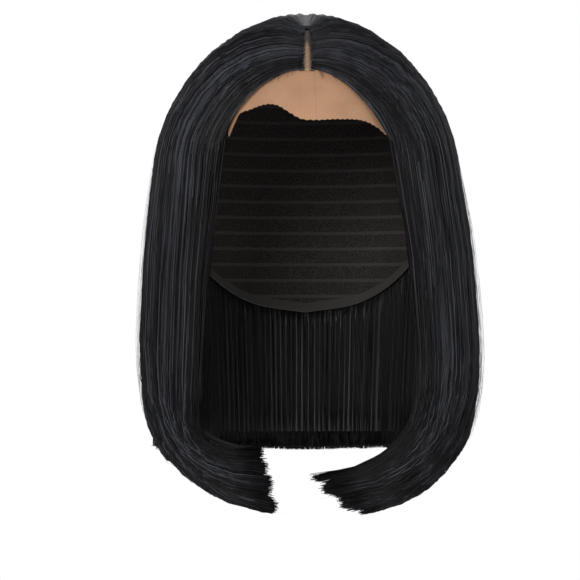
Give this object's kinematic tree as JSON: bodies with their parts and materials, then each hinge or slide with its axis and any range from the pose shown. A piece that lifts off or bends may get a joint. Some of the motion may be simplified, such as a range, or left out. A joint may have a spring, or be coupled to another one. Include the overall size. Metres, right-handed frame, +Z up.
{
  "type": "bob wig",
  "caption": "Straight chin-to-shoulder bob wig with a centre part, a lace front and ends that curl in, held open as worn.",
  "frame": {"origin": "inside top of the cap, where the crown of a head touches it", "axes": "+Z up, -Y the way the face looks, +X the wearer's left"},
  "size_m": [0.193, 0.2013, 0.2796],
  "materials": {
    "hair": "black straight fibre, satin sheen along the strands",
    "under_hair": "black straight fibre in shadow",
    "lace": "fine beige net, matt",
    "cap_net": "dark stretch net, matt"
  },
  "bodies": {
    "root": {"cap": "cap_net", "lace_front": "lace", "part_strip": "lace", "hair_right": "hair", "hair_left": "hair", "hair_back": "hair", "hair_nape": "under_hair"}
  },
  "joints": []
}
